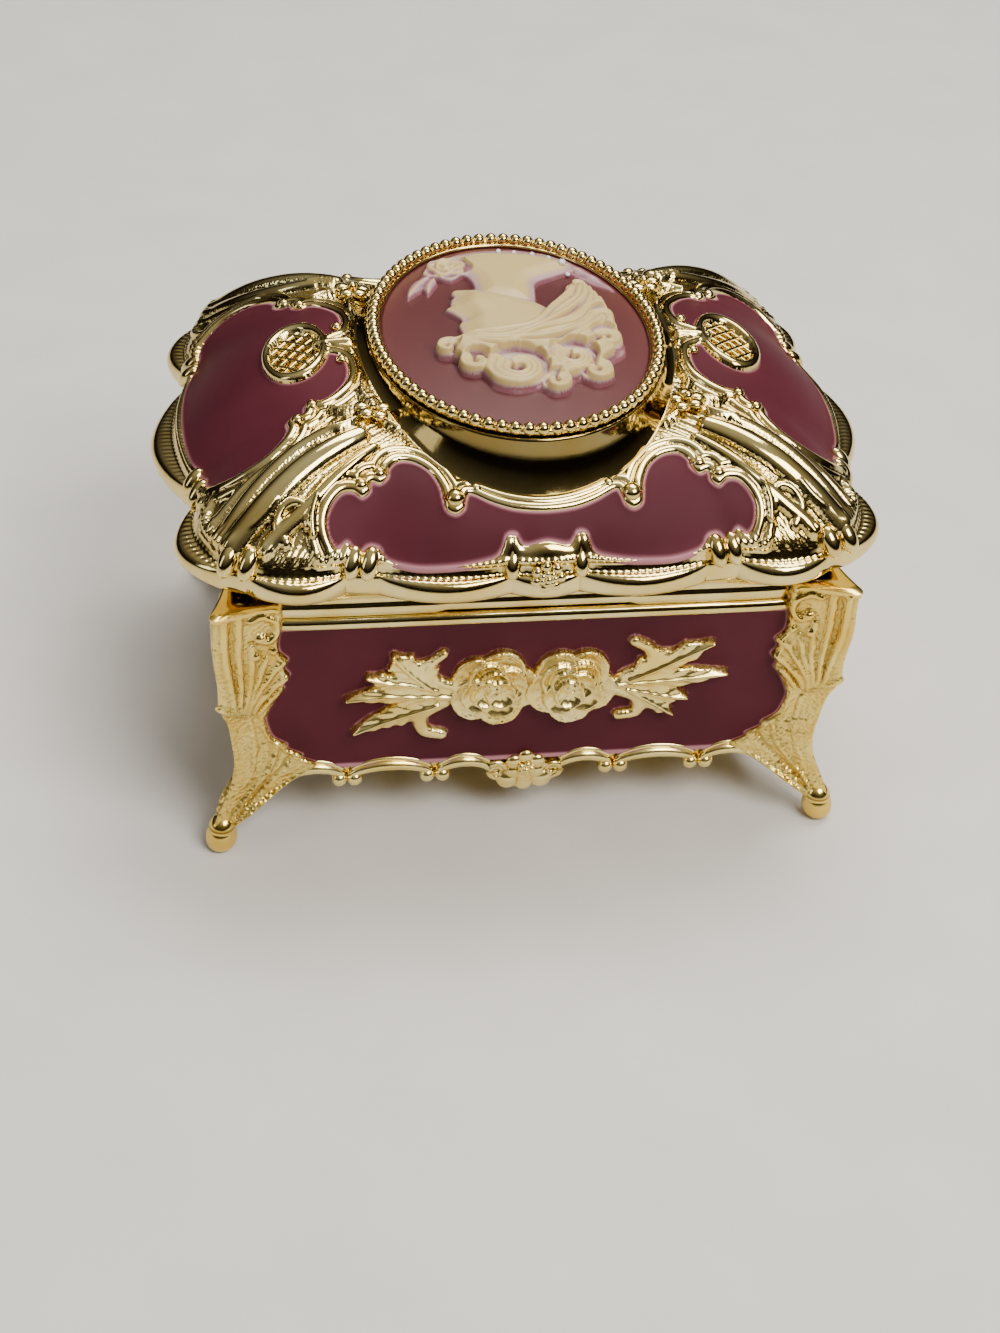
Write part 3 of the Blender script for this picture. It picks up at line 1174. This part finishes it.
def make_spring(pivot):
    """The fixed drum with its coiled mainspring."""
    low = BED_TOP + SEAT_GAP
    hole = ARBOR_RADIUS + RUN_GAP
    inner = DRUM_RADIUS - DRUM_WALL
    drum = [(hole, low), (DRUM_RADIUS, low), (DRUM_RADIUS, DRUM_TOP - 0.6 * MM),
            (DRUM_RADIUS - 0.6 * MM, DRUM_TOP), (hole, DRUM_TOP), (hole, DRUM_TOP - DRUM_WALL),
            (inner, DRUM_TOP - DRUM_WALL), (inner, low + DRUM_WALL), (hole, low + DRUM_WALL)]
    solid("spring_drum", turned(drum, 24, (ARBOR_X, ARBOR_Y, 0), ends=False), ZINC, pivot, pivot.location)
    first = ARBOR_RADIUS + RUN_GAP + 0.4 * MM
    last = DRUM_RADIUS - DRUM_WALL - SEAT_GAP - SPRING_THICK
    steps = SPRING_TURNS * 12
    bottom, top = low + DRUM_WALL + SEAT_GAP, DRUM_TOP - DRUM_WALL - SEAT_GAP
    rings = []
    for i in range(steps + 1):
        turn = 2 * math.pi * SPRING_TURNS * i / steps
        radius = first + (last - first) * i / steps
        ring = []
        for thick, z in ((0.0, bottom), (SPRING_THICK, bottom), (SPRING_THICK, top), (0.0, top)):
            reach = radius + thick
            ring.append((ARBOR_X + reach * math.cos(turn), ARBOR_Y + reach * math.sin(turn), z))
        rings.append(ring)
    solid("mainspring", loft(rings), STEEL, pivot, pivot.location)


def make_winding(pivot):
    """Key, arbor and crown wheel, which turn together."""
    place = pivot.location
    wheel_top = WHEEL_Z + WHEEL_THICK
    key_top = PLATE_Z - SCREW_HEAD_TALL - 2 * SEAT_GAP - 0.3 * MM
    key_low = key_top - KEY_TALL
    arbor = [(ARBOR_RADIUS, key_low + KEY_TALL * 0.5), (ARBOR_RADIUS, wheel_top + 0.5 * MM)]
    solid("winding_arbor", turned(arbor, 14, place), STEEL, pivot, place)

    outer = WHEEL_RADIUS + CROWN_FACE / 2 + 0.2 * MM
    bore = ARBOR_RADIUS + SEAT_GAP
    disc = [(bore, WHEEL_Z), (outer, WHEEL_Z), (outer, wheel_top), (bore, wheel_top)]
    wheel = solid("crown_wheel", turned(disc, WHEEL_TEETH // 2, place, ends=False), BRASS, pivot, place)
    teeth = []
    r0, r1 = WHEEL_RADIUS - CROWN_FACE / 2, WHEEL_RADIUS + CROWN_FACE / 2
    for i in range(WHEEL_TEETH):
        turn = 2 * math.pi * (i + 0.5) / WHEEL_TEETH + math.pi / 2
        c, s = math.cos(turn), math.sin(turn)
        rings = []
        for z, half in ((WHEEL_Z - CROWN_DEPTH, 0.35 * TOOTH_THICK), (WHEEL_Z + 0.3 * MM, 0.6 * TOOTH_THICK)):
            corners = [(r0, -half), (r1, -half), (r1, half), (r0, half)]
            rings.append([(place[0] + r * c - w * s, place[1] + r * s + w * c, z) for r, w in corners])
        teeth.append(loft(rings))
    points, faces = [], []
    for tooth_points, tooth_faces in teeth:
        start = len(points)
        points += tooth_points
        faces += [tuple(start + k for k in face) for face in tooth_faces]
    combine(wheel, [solid("crown_teeth", (points, faces), BRASS, cutter=True)], "UNION")

    half, lobe = KEY_WIDTH / 2, KEY_TALL / 2
    outline = []
    for side in (1, -1):
        for i in range(9):
            turn = math.radians(-110 + 220 * i / 8)
            a = side * (half - lobe + lobe * math.cos(turn))
            h = key_low + lobe + lobe * 0.96 * math.sin(turn) * side
            outline.append((place[0] + a, h))
        outline.append((place[0] + side * 1.0 * MM, key_low + lobe + side * lobe * 0.45))
    y = place[1]
    key = solid("winding_key", prism(outline, y - KEY_THICK / 2, y + KEY_THICK / 2, "Y"), BRASS, pivot, place)
    hub_low = key_low + 0.6 * MM
    profile = [(KEY_HUB * 0.8, hub_low), (KEY_HUB, hub_low + 1 * MM), (KEY_HUB, key_top)]
    hub = solid("key_hub", turned(profile, 14, place), BRASS, cutter=True)
    size = ARBOR_RADIUS + SEAT_GAP
    socket = turned([(size, key_low + KEY_TALL * 0.5 - SEAT_GAP), (size, key_top + 1 * MM)], 14, place)
    combine(key, [hub], "UNION")
    combine(key, [solid("key_socket", socket, BRASS, cutter=True)], "DIFFERENCE")


def make_cylinder(pivot):
    """The pinned brass cylinder, on an arbor with a pinion at one end and a spur wheel at the other."""
    x, y, z = pivot.location
    core = SHAFT_RADIUS + SEAT_GAP
    profile = [(core, CYLINDER_0), (CYLINDER_RADIUS, CYLINDER_0), (CYLINDER_RADIUS, CYLINDER_1),
               (core, CYLINDER_1)]
    tube = turned(profile, 28, (x, ARBOR_Y, z), "Y", ends=False)
    drum = solid("cylinder", tube, BRASS, pivot, pivot.location)
    pitch = CYLINDER_LENGTH / NOTES
    points, faces = [], []
    for note in range(NOTES):
        for beat in range(2):
            turn = 2 * math.pi * ((note * 7 + beat * 11) % 28 + 0.5) / 28
            c, s = math.cos(turn), math.sin(turn)
            middle = ARBOR_Y + CYLINDER_0 + (note + 0.5) * pitch
            rings = []
            for lift, half in ((-0.3 * MM, 0.2 * MM), (PIN_HEIGHT, 0.14 * MM)):
                r = CYLINDER_RADIUS + lift
                corners = [(-half, -half), (half, -half), (half, half), (-half, half)]
                rings.append([(x + r * s + a * c, middle + b, z + r * c - a * s) for a, b in corners])
            start = len(points)
            pin_points, pin_faces = loft(rings)
            points += pin_points
            faces += [tuple(start + k for k in face) for face in pin_faces]
    combine(drum, [solid("cylinder_pins", (points, faces), BRASS, cutter=True)], "UNION")

    first = WHEEL_RADIUS - CROWN_FACE / 2 - 0.1 * MM
    shaft = turned([(SHAFT_RADIUS, first - 0.3 * MM), (SHAFT_RADIUS, POST_2 + POST_THICK + 0.3 * MM)], 12,
                   (x, ARBOR_Y, z), "Y")
    arbor = solid("cylinder_arbor", shaft, STEEL, pivot, pivot.location)
    pinion = gear_outline(PINION_TEETH, PINION_RADIUS - CROWN_DEPTH / 2 - 0.3 * MM, PINION_RADIUS + 0.35 * MM,
                          TOOTH_THICK, (x, z), math.pi / 2)
    spur = gear_outline(SPUR_TEETH, SPUR_RADIUS - 0.55 * MM, SPUR_RADIUS + 0.3 * MM, 0.36 * MM,
                        (x, z), math.pi)
    gears = [prism(pinion, ARBOR_Y + first, ARBOR_Y + first + CROWN_FACE + 0.2 * MM, "Y"),
             prism(spur, ARBOR_Y + SPUR_0, ARBOR_Y + SPUR_0 + SPUR_FACE, "Y")]
    combine(arbor, [solid(f"cylinder_gear_{i}", g, STEEL, cutter=True) for i, g in enumerate(gears)], "UNION")


def make_governor(pivot):
    """Governor arbor: a pinion driven by the cylinder, and the worm wheel that drives the fly."""
    x, y, z = pivot.location
    end = POST_2 + POST_THICK + 0.3 * MM
    shaft = turned([(SHAFT_RADIUS, SPUR_0 - 0.2 * MM), (SHAFT_RADIUS, end)], 12, (x, ARBOR_Y, z), "Y")
    arbor = solid("governor_wheel", shaft, BRASS, pivot, pivot.location)
    pinion = gear_outline(GOVERNOR_TEETH, GOVERNOR_RADIUS - 0.55 * MM, GOVERNOR_RADIUS + 0.3 * MM, 0.34 * MM,
                          (x, z), math.pi / GOVERNOR_TEETH)
    wheel = gear_outline(WORM_WHEEL_TEETH, WORM_WHEEL_RADIUS - 0.45 * MM, WORM_WHEEL_RADIUS + 0.1 * MM,
                         0.28 * MM, (x, z), math.pi)
    gears = [prism(pinion, ARBOR_Y + SPUR_0, ARBOR_Y + SPUR_0 + SPUR_FACE, "Y"),
             prism(wheel, ARBOR_Y + WORM_WHEEL_0, ARBOR_Y + WORM_WHEEL_0 + SPUR_FACE, "Y")]
    combine(arbor, [solid(f"governor_gear_{i}", g, BRASS, cutter=True) for i, g in enumerate(gears)], "UNION")


def make_fly(pivot):
    """The air brake: a worm on an upright spindle, with two blades."""
    x, y, _ = pivot.location
    low, high = BED_TOP - 0.5 * MM, FLY_Z + FLY_TALL + 1.0 * MM
    thin = SHAFT_RADIUS * 0.6
    sides = 10
    profile = [(thin, low), (thin, AXLE_Z - 3.4 * MM), (WORM_RADIUS - WORM_THREAD, AXLE_Z - 3.2 * MM)]
    rows = 12
    for i in range(rows + 1):
        profile.append((None, AXLE_Z - 2.4 * MM + 4.8 * MM * i / rows))
    profile += [(WORM_RADIUS - WORM_THREAD, AXLE_Z + 3.2 * MM), (thin, AXLE_Z + 3.4 * MM), (thin, high)]
    rings = []
    for radius, z in profile:
        ring = []
        for k in range(sides):
            turn = 2 * math.pi * k / sides
            reach = radius
            if radius is None:
                wave = math.cos(WORM_STARTS * turn - 2 * math.pi * (z - AXLE_Z) / WORM_PITCH + math.pi)
                reach = WORM_RADIUS - WORM_THREAD + WORM_THREAD * max(wave, 0.0) * 0.9
            ring.append((x + reach * math.cos(turn), y + reach * math.sin(turn), z))
        rings.append(ring)
    fly = solid("governor_fly", loft(rings), BRASS, pivot, pivot.location)
    half = 0.3 * MM
    blade = block(x - FLY_REACH, x + FLY_REACH, y - half, y + half, FLY_Z, FLY_Z + FLY_TALL)
    combine(fly, [solid("fly_blade", blade, BRASS, cutter=True)], "UNION")


def make_bridge(pivot):
    """The arm that carries the fly's upper pivot."""
    foot_x = FLY_X - FLY_REACH - 0.5 * MM
    thick = 1.0 * MM
    half = 1.5 * MM
    low = FLY_Z + FLY_TALL + 0.7 * MM
    outline = [(foot_x, BED_TOP + SEAT_GAP), (foot_x, low), (FLY_X + half, low), (FLY_X + half, low + thick),
               (foot_x - thick, low + thick), (foot_x - thick, BED_TOP + SEAT_GAP)]
    bent = prism(outline, FLY_Y - half, FLY_Y + half, "Y")
    arm = solid("governor_bridge", bent, BRASS, pivot, pivot.location)
    size = SHAFT_RADIUS * 0.6 + RUN_GAP
    hole = turned([(size, low - 1 * MM), (size, low + thick + 1 * MM)], 10, (FLY_X, FLY_Y, 0))
    combine(arm, [solid("bridge_pivot", hole, BRASS, cutter=True)], "DIFFERENCE")


def make_plunger(pivot):
    """The stop plunger: the closed lid presses it down until its finger brakes the fly."""
    top = LID_BASE + 0.5 * MM - SEAT_GAP
    x, y = PLUNGER_X, FLY_Y
    pin = [(PLUNGER_RADIUS, PLUNGER_Z), (PLUNGER_RADIUS, top - 0.5 * MM), (PLUNGER_RADIUS * 0.6, top)]
    rod = solid("stop_plunger", turned(pin, 12, (x, y, 0)), STEEL, pivot, pivot.location)
    reach = FLY_X + 1.9 * MM
    finger = block(reach, x, y + 0.3 * MM, y + 1.1 * MM, PLUNGER_Z + 0.1 * MM, PLUNGER_Z + FINGER_TALL)
    combine(rod, [solid("plunger_finger", finger, STEEL, cutter=True)], "UNION")


def main():
    lid_pivot = empty("lid_axis", (0, HINGE_Y, HINGE_Z))
    arbor_axis = empty("arbor_axis", (ARBOR_X, ARBOR_Y, 0))
    cylinder_axis = empty("cylinder_axis", (ARBOR_X, ARBOR_Y, AXLE_Z))
    governor_axis = empty("governor_axis", (GOVERNOR_X, ARBOR_Y, AXLE_Z))
    fly_axis = empty("fly_axis", (FLY_X, FLY_Y, 0))
    plunger_axis = empty("plunger_axis", (PLUNGER_X, FLY_Y, 0))
    make_body()
    make_legs()
    make_wall_enamel()
    make_sprays()
    make_lid(lid_pivot)
    make_lid_enamel(lid_pivot)
    make_medallions(lid_pivot)
    make_bead_ring(lid_pivot)
    make_plaque(lid_pivot)
    make_bust(lid_pivot)
    make_lining(lid_pivot)
    make_hinge(lid_pivot)
    make_base()
    make_tray()
    make_bedplate(arbor_axis)
    make_comb(arbor_axis)
    make_spring(arbor_axis)
    make_winding(arbor_axis)
    make_cylinder(cylinder_axis)
    make_governor(governor_axis)
    make_fly(fly_axis)
    make_bridge(arbor_axis)
    make_plunger(plunger_axis)


main()
